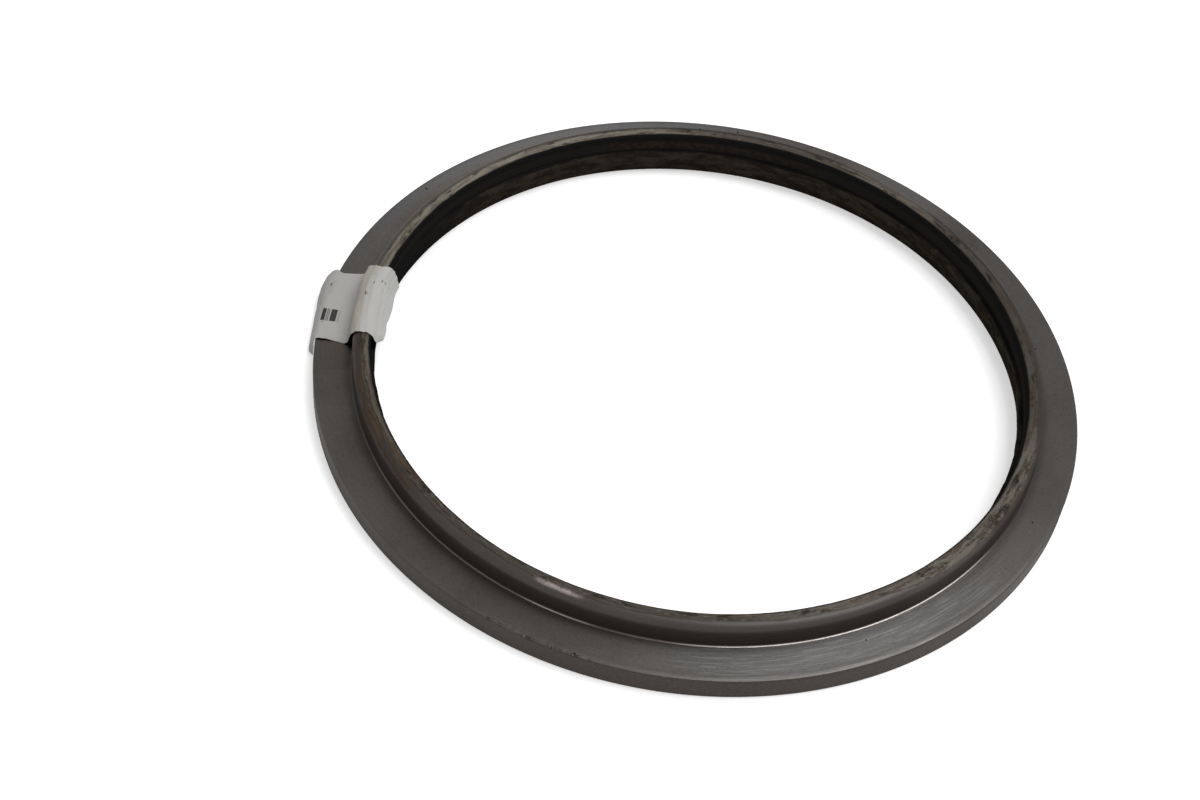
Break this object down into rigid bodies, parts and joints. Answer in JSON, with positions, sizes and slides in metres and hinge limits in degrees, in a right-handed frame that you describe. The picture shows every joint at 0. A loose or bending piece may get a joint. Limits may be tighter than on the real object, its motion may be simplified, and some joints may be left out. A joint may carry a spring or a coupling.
{
  "type": "backup ring",
  "caption": "Turned steel backup ring with a flat flange, a short rounded collar and a stepped bore, with a paper stock label folded over its side.",
  "frame": {"origin": "centre of the ring on the plane of its underside", "axes": "+Z along the ring's axis, from the flange's underside to the collar; the label is at the -X side"},
  "size_m": [0.3002, 0.3, 0.0202],
  "materials": {
    "turned_steel": "turned satin on the flange and the collar's wall, rough and brown as forged on the collar's top and in the bore",
    "label_paper": "matt, wrinkled"
  },
  "bodies": {
    "root": {"ring": "turned_steel", "paper_label": "label_paper"}
  },
  "joints": []
}
